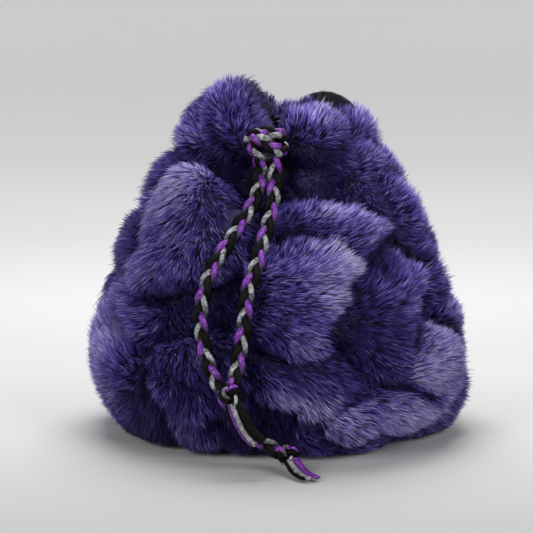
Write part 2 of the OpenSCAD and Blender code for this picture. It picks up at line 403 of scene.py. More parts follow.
right_tail_routes = np.array([
    [(-17.6, -82, 27.2), (-15.6, -82.4, 21), (-12.6, -82.4, 15.4), (-9.4, -82, 11.6)],
    [(-16.6, -83.4, 27.6), (-14.3, -84.4, 21.4), (-11.4, -84.4, 15.8), (-8, -84, 11.8)],
    [(-14.8, -83.2, 28.4), (-11.6, -84.4, 22.2), (-8.6, -84.4, 17), (-5, -84, 13.2)]]) * MM
strand_names = ("purple", "silver", "black")
strand_halves = (1.25 * MM, 1.05 * MM, 1.5 * MM)
plait_period = 20 * MM
print("points in the legs' routes:", len(left_leg_route), "and", len(right_leg_route))


# %% Find the middle lines of three plaited cords
def away_from_axis(line):
    """Which way is out of the bag beside each point: level low down, tilted up over the shoulder."""
    tilt = 0.6 * np.clip((line[:, 2] - 0.8 * shoulder_z) / (0.4 * shoulder_z), 0, 1)
    level = unit(line * (1, 1, 0))
    return unit(level + np.stack([0 * tilt, 0 * tilt, tilt], -1))


def strands_of(line, outward, period=plait_period, swing=1.75 * MM, dip=0.85 * MM, start=0.0):
    """The middle lines of the three cords of a flat plait, each with how near its top they run, 0 to 1."""
    _, side, out = route_frame(line, outward)
    along = distances(line)
    lines = []
    for k in range(3):
        turn = 2 * np.pi * (along / period + k / 3 + start)
        strand = line + swing * np.sin(turn)[:, None] * side + dip * np.sin(2 * turn)[:, None] * out
        lines.append((strand, 0.5 + 0.5 * np.sin(2 * turn)))
    return lines


# %% Give the cords their thickness and their satin
def plaited(line, outward, halves, flatness=0.9, sides=10, **plait):
    """A tube for each cord of a plait: points, faces, its satin's number, and its nearness to the top."""
    strands = enumerate(zip(strands_of(line, outward, **plait), halves))
    return [(*tube(strand, outward, half, flatness * half, sides), k, height)
            for k, ((strand, height), half) in strands]


def mark_crown(piece, height):
    """Lets each point say how near the plait's top it runs, which the satin turns into painted shade."""
    layer = piece.data.attributes.new("crown", "FLOAT", "POINT")
    layer.data.foreach_set("value", np.asarray(height, np.float32))


def join_tubes(name, tubes):
    """One piece of several tubes, each with its own satin."""
    piece = mesh_piece(name, *merge([some[:2] for some in tubes]))
    for satin in satins:
        piece.data.materials.append(satin)
    finish, crowns = [], []
    for points, faces, kind, height in tubes:
        finish.append(np.full(len(faces), kind, np.int32))
        crowns += [np.repeat(height, (len(points) - 2) // len(height)), height[[0, -1]]]
    piece.data.polygons.foreach_set("material_index", np.concatenate(finish))
    mark_crown(piece, np.concatenate(crowns))
    return piece


# %% Plait the two legs
leg_routes = {"left": left_leg_route, "right": right_leg_route}
leg_lines = {which: smooth_route(route, 0.8 * MM) for which, route in leg_routes.items()}
leg_starts = {"left": 0.15, "right": 0.55}
legs = {}
for which, line in leg_lines.items():
    tied_in = line[-1] + (line[-1] - line[-2]) * np.arange(1, 5)[:, None]
    whole = np.vstack([line, tied_in])
    tubes = plaited(whole, away_from_axis(whole), strand_halves, start=leg_starts[which])
    legs[which] = join_tubes(f"braided_leg_{which}", tubes)
    print(which, "leg length in mm:", round(route_length(whole) / MM, 1))

# %% [markdown]
# ## The knots and the loose ends
# Each end of the plait is tied in an overhand knot, which is a trefoil when pulled tight, and the
# three cords come out of it unplaited and cut straight. The knot at the neck is a half knot: one end
# of the plait crosses over the other and both drop out from under it.

# %% Tie the end knots
knot_size = 1.02 * MM


def overhand(name, node, turn, tilt):
    """Three cords that run together round a tight trefoil in the place of a node."""
    low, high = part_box(node)
    t = np.linspace(0, 2 * np.pi, 150)
    trefoil = [np.sin(t) + 2 * np.sin(2 * t), np.cos(t) - 2 * np.cos(2 * t), -1.15 * np.sin(3 * t)]
    lean = np.array([[1, 0, 0], [0, math.cos(tilt), -math.sin(tilt)], [0, math.sin(tilt), math.cos(tilt)]])
    spin = np.array([[math.cos(turn), 0, math.sin(turn)], [0, 1, 0], [-math.sin(turn), 0, math.cos(turn)]])
    line = knot_size * np.stack(trefoil, -1) @ lean.T @ spin.T
    halves = (1.0 * MM, 0.85 * MM, 1.5 * MM)
    return join_tubes(name, plaited(line + np.array((low + high) / 2), unit(line), halves, sides=8,
                                    period=60 * knot_size, swing=1.0 * MM, dip=0.5 * MM))


end_knots = {"left": overhand("end_knot_tied_left", "end_knot_left", 0.4, 1.2),
             "right": overhand("end_knot_tied_right", "end_knot_right", -0.3, 1.5)}
print("end knots:", list(end_knots))


# %% Lay the cut tails
tail_routes = {"left": left_tail_routes, "right": right_tail_routes}
# the half widths of the purple, silver and black tails
tail_halves = {"left": (1.55 * MM, 1.25 * MM, 0.90 * MM), "right": (0.9 * MM, 0.95 * MM, 1.85 * MM)}
lying_below = 5 * MM


def cut_tail(name, route, satin, half_width):
    """A flattened cord end. One that ends low lies flat on the table."""
    line = smooth_route(route, 0.6 * MM)
    if line[-1, 2] > lying_below:
        out = away_from_axis(line)
    else:
        out = np.tile([0, 0, 1.0], (len(line), 1))
    points, faces = tube(line, out, half_width, half_height=0.7 * MM)
    piece = mesh_piece(name, points, faces)
    piece.data.materials.append(satin)
    # a loose end gets one even painted shade
    mark_crown(piece, np.full(len(points), 0.75))
    return piece


tails = {}
for which, routes in tail_routes.items():
    tails[which] = [cut_tail(f"cut_tail_{which}_{strand}", route, satin, half)
                    for strand, route, satin, half in zip(strand_names, routes, satins, tail_halves[which])]
print("tails:", sum(len(v) for v in tails.values()))

# %% Tie the half knot at the neck
cinch = np.array([-4, -42.5, 119.4]) * MM
over_route = cinch + np.array([
    (-3.6, 9, -1.5), (-6.4, 4, 0), (-6.6, -0.5, 2.4), (-4.4, -4.0, 3.4), (-0.8, -5.6, 1.4), (3.0, -5.4, -1.2),
    (5.8, -2.6, -2.6), (6.6, 2.5, -2.4), (4.6, 9, -1.4)]) * MM
under_route = cinch + np.array([
    (4.6, 9, 1.2), (6.2, 3.4, 2.6), (5.0, -1.2, 3.2), (1.6, -2.8, 4.4), (-2.8, -2.4, 4.2), (-5.2, -2.0, 1.2),
    (-4.4, -2.8, -2.6), (-2.2, -3.2, -5.4), (-1.6, -1.6, -8)]) * MM
behind_cinch = cinch + np.array([0, 2, 0]) * MM
knot_tubes = []
for route, start in ((over_route, 0.1), (under_route, 0.5)):
    line = smooth_route(route, 0.6 * MM)
    knot_tubes += plaited(line, unit(line - behind_cinch), [1.2 * MM] * 3, flatness=11 / 12, sides=8,
                          period=16 * MM, swing=1.5 * MM, dip=0.8 * MM, start=start)
half_knot = join_tubes("half_knot_at_neck", knot_tubes)
print("half knot faces:", len(half_knot.data.polygons))

# %% Say where the cords ride
for which, piece in legs.items():
    line = leg_lines[which]
    stand_in(piece, "cord_legs", "braid", f"braid_leg_{which}")
    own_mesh(piece)
    stand_in(end_knots[which], f"end_{which}", "braid", f"end_knot_{which}")
    for strand, tail in zip(strand_names, tails[which]):
        stand_in(tail, f"end_{which}", f"satin_{strand}", f"tail_{which}_{strand}")
stand_in(half_knot, "cinch", "braid", "cinch_knot")
print("cords declared:", len(legs))

# %% [markdown]
# ## The cloth under the fur
# A puff's paleness is partly the cloth's own tone and partly painted sheen, and the pile by a crease gets
# painted shade.
# A soft bag that stands by itself is all puffs and creases: the cloth bulges between the places
# where it buckles. One smooth outline gives the height and girth. Over it lies a set of puffs, each
# with its own place, stand-out, paleness and lie of the pile; halfway between two puffs runs a crease.
# This was chosen over sculpting because the same rule then also tells every hair which way to lie.

# %% Place the puffs
# each puff: how far it stands out in mm, then points inside it, each with its bearing (the front is -90),
# height in mm, paleness 0 to 1 (partly the cloth's own tone, partly painted sheen), lie of the pile in
# degrees (0 is right, 90 is up) and lean
puff_list = [
    (4, [(-147, 88, 0.54, 225, 1.0), (-136, 100, 0.80, 225, 1.2), (-133, 76, 0.32, 240, 0.5),
         (-122, 76, 0.26, 300, 0.4), (-116, 99, 0.34, -25, 1.2), (-127, 90, 0.40, -120, 1.2),
         (-110, 92, 0.28, -15, 1.2), (-142, 70, 0.46, 240, 0.7), (-124, 69, 0.44, 290, 0.5)]),
    (-3, [(-129, 112, 0.06, -15, 1.0), (-113, 109, 0.06, -15, 1.0), (-145, 115, 0.24, 200, 0.7),
          (-103, 105, 0.03, 0, 0.5)]),
    (4, [(-79, 91, 0.50, 30, 0.9), (-64, 88, 0.45, 30, 0.9), (-86, 89, 0.36, 25, 0.9),
         (-60, 80, 0.38, 35, 0.8), (-71, 95, 0.90, 50, 1.0), (-52, 84, 0.60, 10, 1.0)]),
    (4, [(-86, 75, 0.40, 30, 0.3), (-89, 61, 0.34, 0, 0.3), (-76, 70, 0.50, 15, 0.6),
         (-82, 56, 0.24, -10, 0.5), (-91, 49, 0.14, -30, 0.6), (-71, 78, 1.0, 50, 1.0),
         (-66, 74, 1.05, 20, 1.0), (-73, 62, 0.98, 5, 1.0), (-84, 45, 0.60, -30, 0.9),
         (-80, 82, 0.60, 60, 0.9)]),
    (3, [(-47, 67, 0.30, 70, 0.6), (-59, 63, 0.27, 60, 0.5), (-43, 57, 0.36, 20, 0.8),
         (-57, 48, 0.10, -40, 0.5), (-65, 54, 0.07, 0, 0.4), (-32, 65, 0.36, 30, 0.6),
         (-43, 47, 0.42, 0, 0.8), (-50, 37, 0.34, -30, 0.8)]),
    (0, [(-46, 95, 0.20, 225, 0.7), (-34, 84, 0.12, -40, 0.8), (-30, 99, 0.24, -30, 0.7),
         (-34, 77, 0.14, -35, 0.8)]),
    (2.6, [(-13, 88, 0.36, 30, 0.6), (-14, 96, 0.40, 20, 0.7)]),
    (4, [(-32, 37, 0.78, 10, 0.9), (-43, 28, 0.86, -10, 0.9), (-53, 20, 0.74, -15, 0.8),
         (-24, 29, 0.64, -10, 0.9), (-66, 15, 0.64, -20, 0.8)]),
    (1, [(-82, 38, 0.18, -20, 0.8), (-70, 32, 0.20, -20, 0.8), (-89, 30, 0.72, -35, 1.0),
         (-76, 25, 0.92, -35, 1.0), (-93, 38, 0.12, -30, 0.6)]),
    (0, [(-157, 58, 0.46, 190, 0.8), (-156, 49, 0.42, 180, 0.8), (-143, 51, 0.34, 200, 0.6)]),
    (1.5, [(-161, 33, 0.62, 150, 1.2), (-148, 28, 0.26, 120, 1.0), (-173, 34, 0.48, 165, 0.9)]),
    (-2, [(-131, 58, 0.10, -30, 0.5), (-120, 55, 0.15, -30, 0.5), (-131, 49, 0.18, -40, 0.5),
          (-112, 61, 0.18, -20, 0.5)]),
    (1, [(-116, 44, 0.34, -40, 0.8), (-120, 36, 0.30, -55, 0.8), (-107, 40, 0.21, -40, 0.8),
         (-129, 41, 0.22, -70, 0.8)]),
    (1, [(-122, 21, 0.46, -85, 0.7), (-127, 28, 0.35, -90, 0.6), (-118, 14, 0.46, -85, 0.7)]),
    (0, [(-138, 21, 0.24, -70, 0.8), (-149, 19, 0.32, 215, 0.8), (-143, 10, 0.16, -100, 0.8)]),
    (-1, [(-107, 15, 0.20, -85, 0.6), (-102, 10, 0.20, -80, 0.5), (-107, 26, 0.25, -60, 0.6)]),
    (-1, [(-92, 17, 0.10, -60, 0.4), (-91, 8, 0.10, -90, 0.4)]),
    (1, [(-76, 9, 0.32, -20, 0.6), (-60, 7, 0.52, -15, 0.6)]),
    (4, [(-14, 15, 0.42, -20, 0.8), (-2, 16, 0.40, -10, 0.8)]),
    (-7, [(-28, 57, 0.02, 0, 0.3)]),
    (2, [(-12, 67, 0.42, 20, 0.6), (-10, 57, 0.30, 0, 0.6)]),
    (3, [(-8, 46, 0.56, 20, 0.9), (2, 37, 0.46, -20, 0.9)]),
    (2, [(-3, 84, 0.46, 30, 0.7), (-1, 75, 0.45, 10, 0.7)]),
    (4, [(-141, 132, 0.46, 135, 1.0), (-133, 129, 0.17, 112, 0.9), (-124, 132, 0.26, 88, 0.9),
         (-118, 125, 0.26, 70, 0.8), (-111, 130, 0.18, 40, 0.9)]),
    (1, [(-134, 119, 0.30, 190, 1.0), (-121, 117, 0.10, 215, 0.8)]),
    (3, [(-74, 129, 0.46, 75, 0.9), (-58, 125, 0.36, 30, 1.0), (-42, 130, 0.52, 20, 1.0),
         (-56, 131, 0.56, 50, 0.9)]),
    (2, [(-78, 119, 0.12, 250, 0.8), (-66, 117, 0.26, -20, 1.1), (-50, 118, 0.36, -25, 1.1)]),
    (-1, [(-76, 106, 0.14, 200, 0.5), (-62, 107, 0.24, -60, 0.7), (-83, 100, 0.06, 200, 0.5),
          (-66, 100, 0.30, -30, 0.6)]),
    (1.5, [(-12, 125, 0.50, 60, 0.6), (-8, 118, 0.42, 20, 0.7)]),
    (1.9, [(-4, 106, 0.60, 10, 0.8), (-20, 114, 0.50, 20, 0.8), (-8, 102, 0.50, 0, 0.8)]),
    (1.5, [(-172, 122, 0.40, 160, 0.6), (-160, 116, 0.36, 220, 0.7)]),
    (1.6, [(-166, 105, 0.36, 220, 0.7), (-172, 98, 0.30, 210, 0.7)]),
    (1, [(-174, 81, 0.26, 200, 0.6), (-158, 79, 0.22, 210, 0.6)]),
    (-4, [(-93, 112, 0.02, 0, 0.3), (-90, 122, 0.02, 60, 0.3)])]

# %% Add the puffs round the back
# each row: its height in mm and how many puffs share the 160 degrees of the back
back_rows = ((13, 4), (34, 3), (57, 4), (81, 3), (103, 4), (124, 3))
lowest_spot, highest_spot = 4, 134
for height, count in back_rows:
    for k in range(count):
        middle = 14 + (k + 0.5) * 160 / count + rng.uniform(-10, 10)
        lie = rng.uniform(-150, 10)
        slant = rng.uniform(-9, 9)
        inside = []
        for across in (-1, 0, 1):
            bearing = middle + 12 * across + rng.uniform(-4, 4)
            high = height + slant * across + rng.uniform(-4, 4)
            pale = rng.uniform(0.12, 0.68)
            inside.append((bearing, high, pale, lie + rng.uniform(-25, 25), rng.uniform(0.7, 1.2)))
        puff_list.append((rng.uniform(-1.5, 3), inside))
spots = np.array([(n, stand, *spot) for n, (stand, inside) in enumerate(puff_list) for spot in inside], float)
puff_of, stand_of, bearing_of, height_of, pale_of, way_of, lean_of = spots.T
height_of = np.clip(height_of, lowest_spot, highest_spot) * MM
print("puffs:", len(puff_list), "points in them:", len(spots))

# %% Mark the sharp creases
# each crease is a line of points, each with its bearing and its height in mm
sharp_creases = [
    [(-37, 80), (-30, 73), (-23, 64)], [(-38, 105), (-35, 97), (-27, 88)], [(-36, 55), (-28, 49), (-4, 37)],
    [(-84, 111), (-80, 104), (-72, 96)], [(-143, 60), (-129, 64), (-116, 67)],
    [(-116, 104), (-107, 101), (-99, 99)], [(-74, 50), (-69, 44), (-65, 36)],
    [(-114, 15), (-108, 13), (-101, 10)], [(-56, 105), (-44, 106), (-33, 105)],
    [(-92, 84), (-83, 85), (-74, 82)], [(-57, 73), (-48, 81), (-39, 77)], [(-98, 47), (-95, 44), (-89, 42)],
    [(-31, 60), (-40, 52), (-45, 43)], [(-170, 84), (-173, 94)], [(-60, 29), (-48, 27), (-36, 22)],
    [(-132, 45), (-138, 38), (-137, 28)]]
girth = 0.85 * belly_r


def in_crease(bearing, height, wide=2.0 * MM):
    """1 in a sharp crease and 0 away from it, over the unrolled wall."""
    here = np.stack([np.radians(bearing) * girth, height], -1)
    nearest = np.full(here.shape[:-1], 1.0)
    for crease in sharp_creases:
        corners = np.array([(math.radians(b) * girth, z * MM) for b, z in crease])
        for start, end in zip(corners, corners[1:]):
            along = end - start
            share = np.clip((here - start) @ along / (along @ along), 0, 1)
            nearest = np.minimum(nearest, np.linalg.norm(here - start - share[..., None] * along, axis=-1))
    return np.exp(-(nearest / wide) ** 2)


print("sharp creases:", len(sharp_creases))


# %% Draw the outline of the cloth
def profile(points, step):
    """A smooth line through (radius, height) pairs in mm."""
    return smooth_route([(r * MM, 0, z * MM) for r, z in points], step)[:, ::2]


bag_outline = [(50, 1.4), (54.5, 2.8), (60, 7.5), (65, 14.5), (68.5, 24), (68.8, 34), (66.5, 45), (63, 57),
               (58.6, 72.4)]
fold_outline = [(58.6, 72.4), (53.6, 84), (49.8, 92), (46.5, 99), (42.3, 105), (37.6, 110), (35, 114),
                (34.6, 119), (31.6, 124), (27.6, 129), (24, 132), (20.4, 133.4), (16.8, 132.6), (14, 130),
                (12.8, 126.5)]
top = 12
outer_wall = bag_outline[:-1] + fold_outline[:top]
full_outline = profile(outer_wall, 1 * MM)
spot_angle = np.radians(bearing_of)
spot_r = np.interp(height_of, full_outline[:, 1], full_outline[:, 0])
spot_at = np.stack([spot_r * np.cos(spot_angle), spot_r * np.sin(spot_angle), height_of], -1)
spot_lie = lean_of[:, None] * np.stack([np.cos(np.radians(way_of)), np.sin(np.radians(way_of))], -1)
spot_facts = np.column_stack([1.6 * stand_of * MM, pale_of, spot_lie])
print("outline points:", len(full_outline))


# %% Raise smooth humps
def bump_at(bearing, height, middle, high, wide, tall):
    """A smooth hump, 1 at its middle, in degrees of bearing and metres of height."""
    off = (bearing - middle + 180) % 360 - 180
    return np.exp(-(off / wide) ** 2 - ((height - high) / tall) ** 2)


def humps(bearing, height, rows):
    """A sum of smooth humps, each given by its size, bearing, height, and how wide and tall it is."""
    return sum(size * bump_at(bearing, height, *hump) for size, *hump in rows)


# %% Find the puff of each point of cloth
# the borders between puffs wander by this much, in waves of this size
wobble = 3 * MM
wobble_size = 15 * MM
# how softly the points inside a puff melt together, and how softly it blends into its neighbour
melt = 4 * MM
blend_width = 2.0 * MM
# how far from the border the crease, its painted shade and the rim with its painted highlight reach
crease_width = 2.2 * MM
painted_shade_width = 4.0 * MM
rim_width = 3.0 * MM


def puffed(flat):
    """What the puffs do to points on the outline.

    It gives stand-out, paleness and lie; the way from the puff's middle; and crease, painted shade and the
    rim that gets a painted highlight.
    """
    warp = np.stack([soft_field(flat, wobble_size, seed) for seed in (1, 2, 3)], -1)
    away = np.linalg.norm(flat[:, None] + wobble * warp[:, None] - spot_at, axis=-1)
    rows = np.arange(len(flat))
    first = away.argmin(1)
    same = puff_of == puff_of[first][:, None]
    weight = np.where(same, np.exp((away[rows, first][:, None] - away) / melt), 0)
    own = weight @ spot_facts / weight.sum(1, keepdims=True)
    middle = weight @ spot_at / weight.sum(1, keepdims=True)
    second = np.where(same, np.inf, away).argmin(1)
    apart = np.linalg.norm(spot_at[first] - spot_at[second], axis=-1)
    gap = (away[rows, second] ** 2 - away[rows, first] ** 2) / (2 * apart)
    share = 0.5 * np.exp(-gap / blend_width)[:, None]
    mixed = (1 - share) * own + share * spot_facts[second]
    pair = np.sort(np.stack([puff_of[first], puff_of[second]], -1), axis=-1)
    strength = 0.65 + 0.35 * lattice(np.column_stack([pair, 0 * rows]), 5)
    beneath = np.clip((stand_of[second] - stand_of[first]) / 3 + 0.5, 0, 1)
    crease = strength * np.exp(-gap / crease_width)
    # painted shade by the crease, most on the lower puff, and on the higher puff a rim that gets a painted
    # highlight
    painted_shade = strength * (0.25 + 0.85 * beneath) * np.exp(-gap / painted_shade_width)
    rim = strength * (1 - beneath) * np.exp(-gap / rim_width)
    return mixed, unit(flat - middle), np.stack([crease, painted_shade, rim], -1)


# %% Let down the mouth's edge
# each dip: how deep it is in metres, its bearing and height, and how wide in degrees
lip_dips = [(deep * MM, middle, lip_z, wide, 1) for deep, middle, wide in (
    (17, -104, 18), (-0.5, -134, 13), (11, -160, 15), (12, -62, 26), (9, -12, 22), (9, 95, 70))]


def lip_drop(bearing, height):
    """How far the mouth's edge is let down: it is uneven, lowest in the notch between the two front lobes."""
    return humps(bearing, height, lip_dips) * np.clip((height - 0.8 * lip_z) / (0.2 * lip_z), 0, 1)


# %% Swell and dent the cloth
# each row: how far the cloth stands out (or in), its bearing and height, and how wide and tall
swells = [(-7 * MM, -90, lip_z, 9, 26 * MM), (3 * MM, -95, 0, 16, 16 * MM), (2 * MM, -135, 0, 30, 12 * MM),
          (1.5 * MM, -8, 0.93 * lip_z, 16, 9 * MM), (-4 * MM, -38, lip_z, 7, 14 * MM),
          (-2.5 * MM, -93, 0.45 * lip_z, 22, 40 * MM)]
# the same for the foot, which spreads on the table at three bearings
foot_swells = [(8 * MM, -6, 0, 16, 1), (4 * MM, -168, 0, 24, 1), (3.5 * MM, -58, 0, 18, 1)]
# painted shadows in the hollows at the neck: each row: how much darker the pile is painted there, and the
# place and size as above
painted_shadows = [(1.0, -89, lip_z - 8 * MM, 7, 22 * MM), (1.0, -95, neck_z - 8 * MM, 19, 11 * MM),
           (0.9, -74, neck_z - 14 * MM, 15, 9 * MM)]
# each ripple: the size of its lumps, how high they stand, and its seed
ripples = ((9 * MM, 0.9 * MM, 11), (4 * MM, 0.35 * MM, 12))
# below this height the puffs stand out less, because the bag sits on them
foot_height = 22 * MM
# from this share of its half width on, a fold's side turns in
edge_start = 0.74
# how deep the cloth dips, in a sharp crease, anywhere, and under the drawn braid
sharp_depth = 3.5 * MM
deepest = 12 * MM
deepest_at_neck = 4.2 * MM


def relief(flat, around, puff_stand, crease, sharp, turn_in, crease_depth, puffing):
    """How far the cloth stands out from its outline at each point."""
    height = flat[..., 2]
    ripple = sum(soft_field(flat, size, seed) * high for size, high, seed in ripples)
    stand = puffing * puff_stand - crease_depth * crease + puffing * ripple
    stand = np.where(stand > 0, stand * np.clip(0.2 + height / foot_height, 0, 1), stand)
    stand += puffing * humps(around, height, swells)
    across = np.abs(np.linspace(-1, 1, flat.shape[1]))
    side = np.clip((across - edge_start) / (1 - edge_start), 0, 1) ** 2
    stand -= turn_in * side * np.clip((height - shoulder_z) / (20 * MM), 0, 1)
    stand -= sharp_depth * sharp
    low_edge = np.exp(-((height - 6 * MM) / (8 * MM)) ** 2)
    stand += puffing * low_edge * humps(around, 0, foot_swells)
    neck = np.exp(-((height - neck_z) / (5 * MM)) ** 2)
    return np.maximum(stand, -neck * deepest_at_neck - (1 - neck) * deepest)


# %% Turn an outline into a patch of puffed cloth
# the hide keeps this far above the table
hide_floor = 1.4 * MM
# the pile gets painted shade nearer to the axis than this, inside the drawn mouth
painted_shade_radius = 23 * MM
# the pile leans at least and at most this much
least_lean, most_lean = 0.6, 1.3


def patch(line, bearings, turn_in=0.0, crease_depth=9.5 * MM, let_down=True, puffing=1.0):
    """A grid of cloth: its points, which way is out, and what its pile is like."""
    flat, ring = turned(line, bearings)
    heading = unit(np.gradient(line, axis=0))
    normal, _ = turned(np.stack([heading[:, 1], -heading[:, 0]], -1), bearings)
    shape = flat.shape[:2]
    mixed, fan, edge = puffed(flat.reshape(-1, 3))
    mixed = mixed.reshape(*shape, 4)
    fan = fan.reshape(flat.shape)
    crease, painted_shade, rim = np.moveaxis(edge.reshape(*shape, 3), -1, 0)
    height = flat[..., 2]
    around = np.broadcast_to(bearings, shape)
    full = puffing == 1
    sharp = in_crease(around, height) if full else 0
    stand = relief(flat, around, mixed[..., 0], crease, sharp, turn_in, crease_depth, puffing)
    points = flat + normal * stand[..., None]
    if let_down:
        points[..., 2] -= lip_drop(around, height)
    points[..., 2] = np.maximum(points[..., 2], hide_floor if full else 0)
    # painted shade: by the creases and the sharp creases, in the hollows at the neck and inside the mouth
    painted_shade = painted_shade + humps(around, height, painted_shadows) + 1.1 * sharp
    painted_shade = painted_shade + 0.7 * np.clip((painted_shade_radius - np.hypot(flat[..., 0], flat[..., 1])) / (8 * MM), 0, 1)
    east = np.broadcast_to(np.stack([-ring[:, 1], ring[:, 0], 0 * ring[:, 0]], -1), flat.shape)
    up = np.cross(normal, east)
    lean = np.linalg.norm(mixed[..., 2:], axis=-1, keepdims=True)
    combed = mixed[..., 2:] * np.clip(lean, least_lean, most_lean) / np.maximum(lean, 0.05)
    lie = combed[..., :1] * east + combed[..., 1:] * up + (0.03 + 0.6 * rim[..., None]) * fan
    real_normal = unit(np.cross(np.gradient(points, axis=1), np.gradient(points, axis=0)))
    real_normal *= np.sign((real_normal * normal).sum(-1, keepdims=True) + 1e-9)
    # the rim of a higher puff gets a painted highlight in its paleness
    return {"points": points, "normal": unit(0.5 * real_normal + 0.5 * normal),
            "pale": mixed[..., 1] + 0.2 * rim, "lie": lie, "painted_shade": painted_shade}


# %% Sew a patch into a closed piece of hide
def cloth_from(name, grid, thickness, finish, inward=-1):
    """A closed piece of cloth: a grid that gets its thickness on its inner side, its outer side or both."""
    rows, cols = grid.shape[:2]
    i, k = np.meshgrid(np.arange(rows - 1), np.arange(cols - 1), indexing="ij")
    a = (i * cols + k).ravel()
    piece = mesh_piece(name, grid.reshape(-1, 3), np.stack([a, a + 1, a + cols + 1, a + cols], -1))
    piece.data.materials.append(finish)
    wall = piece.modifiers.new("thickness", "SOLIDIFY")
    wall.thickness = thickness
    wall.offset = inward
    bpy.context.view_layer.objects.active = piece
    bpy.ops.object.modifier_apply(modifier=wall.name)
    return piece


# %% Cut the wall and the folds
bag_line = profile(bag_outline, 1.3 * MM)
fold_line = profile(fold_outline, 1.3 * MM)
whole_line = np.vstack([bag_line, fold_line[1:]])
last = len(bag_line)
hide_thickness = 1.2 * MM
patch_columns = 52
panel_columns = 150
bag_patches = [patch(whole_line[:last + 2], np.linspace(begin, begin + 60, patch_columns), let_down=False)
               for begin in range(-180, 180, 60)]
panel_grids, hides = {}, {}
for which, begin in (("front", -180), ("back", 0)):
    cloth = patch(bag_line, np.linspace(begin, begin + 180, panel_columns), let_down=False)
    panel_grids[which] = cloth["points"]
    hides[which] = cloth_from(f"fur_cloth_{which}", cloth["points"], hide_thickness, hide_finish)
    stand_in(hides[which], "bag", "fur", f"fur_panel_{which}")
# bearings of the folds' middles, and how far each fold reaches to both sides, in degrees
fold_middle = [-120 + 60 * k for k in range(FOLDS)]
fold_half = 29.4
fold_patches, fold_hides = [], []
for k, middle in enumerate(fold_middle):
    bearings = np.linspace(middle - fold_half, middle + fold_half, patch_columns)
    cloth = patch(whole_line[last - 3:], bearings, turn_in=6 * MM)
    hide = cloth_from(f"fur_cloth_fold_{k + 1}", cloth["points"][2:], hide_thickness, hide_finish)
    stand_in(hide, f"fold_{k + 1}", "fur", f"mouth_fold_{k + 1}")
    fold_patches.append(cloth)
    fold_hides.append(hide)
print("patches of cloth:", len(bag_patches) + len(fold_patches))

# %% [markdown]
# ## The fur itself
# Long-pile plush is thousands of fine hairs on a knitted backing, 7 or 8 mm long here, that stick
# together in tufts. Each hair is a thin three-sided spike with one bend: real geometry, so the outline
# bristles and the creases go dark, and painted shade on the hairs darkens the creases further.
# Shorter straight hairs fill in between them.
# Hairs lean the way their puff's pile lies, tufts pull their tips together, and cords press them flat.

# %% Sow hair roots evenly over a patch
def sow(cloth, per_mm2, dice):
    """Random places on a patch, spread by area, with everything the patch knows there."""
    area = cell_areas(cloth["points"])
    total = area.sum()
    count = int(total / MM ** 2 * per_mm2)
    pick = np.searchsorted(np.cumsum(area.ravel()), dice.random(count) * total)
    i, k = np.divmod(np.minimum(pick, area.size - 1), area.shape[1])
    u, v = dice.random((2, count, 1))
    sown = {}
    for key, field in cloth.items():
        field = field if field.ndim == 3 else field[..., None]
        sown[key] = ((1 - u) * (1 - v) * field[i, k] + (1 - u) * v * field[i, k + 1]
                     + u * (1 - v) * field[i + 1, k] + u * v * field[i + 1, k + 1])
    sown["normal"] = unit(sown["normal"])
    return sown


# %% Press hairs down under the cords
cord_rows = [line[::4] for line in leg_lines.values()]
cord_points = np.vstack(cord_rows)
cord_out = np.vstack([away_from_axis(row) for row in cord_rows])
# only hairs on the front and near the cords are looked at, some thousands at a time
cords_middle = -12 * MM
cords_reach = 32 * MM
front_edge = -30 * MM
rows_at_once = 20000
# hairs further from a cord than this stand free, and they lie flat from this much nearer on
press_edge = 6.0 * MM
press_fade = 2.4 * MM


def press(points, dice):
    """Hair points that would cover a cord are pushed back under it."""
    near = np.flatnonzero((points[:, 1] < front_edge) & (np.abs(points[:, 0] - cords_middle) < cords_reach))
    for rows in np.array_split(near, max(1, len(near) // rows_at_once)):
        if not len(rows):
            continue
        off = points[rows, None] - cord_points
        closest = (off ** 2).sum(-1).argmin(1)
        away = points[rows] - cord_points[closest]
        out = cord_out[closest]
        high = (away * out).sum(-1)
        beside = np.linalg.norm(away - high[:, None] * out, axis=-1)
        hold = np.clip((press_edge - beside) / press_fade, 0, 1)
        under = (-2.4 - 1.2 * dice.random(len(rows))) * MM
        push = np.where(high > under, (under - high) * hold, 0)
        points[rows] += push[:, None] * out
    return points


# %% Draw hairs together into tufts
# the bend lies this far up each hair
bend_share = 0.55


def draw_together(stages, guides, share, power=1.5):
    """Pulls hairs towards the nearest guide hair, most of all at their tips."""
    tree = kdtree.KDTree(len(guides))
    for n, root in enumerate(stages[0][guides]):
        tree.insert(root, n)
    tree.balance()
    nearest = guides[np.array([tree.find(root)[1] for root in stages[0]])]
    drawn = [p + share * t ** power * (p[nearest] - p) for t, p in zip((0, bend_share, 1), stages)]
    return drawn, nearest


# %% Grow one coat of hair
# one hair in a thousand is twice as long as the rest, and one in fifty a quarter longer or more:
# shares of the hairs, and how long they are
stray_shares = (0, 0.001, 0.002, 0.02, 0.03)
stray_lengths = (2.0, 1.9, 1.35, 1.25, 1.0)
# how much the lengths and the leans differ from hair to hair
length_spread = 0.13
scatter = 0.10
# below this height hairs are shorter and turn up, clear of the table
low_zone = 14 * MM


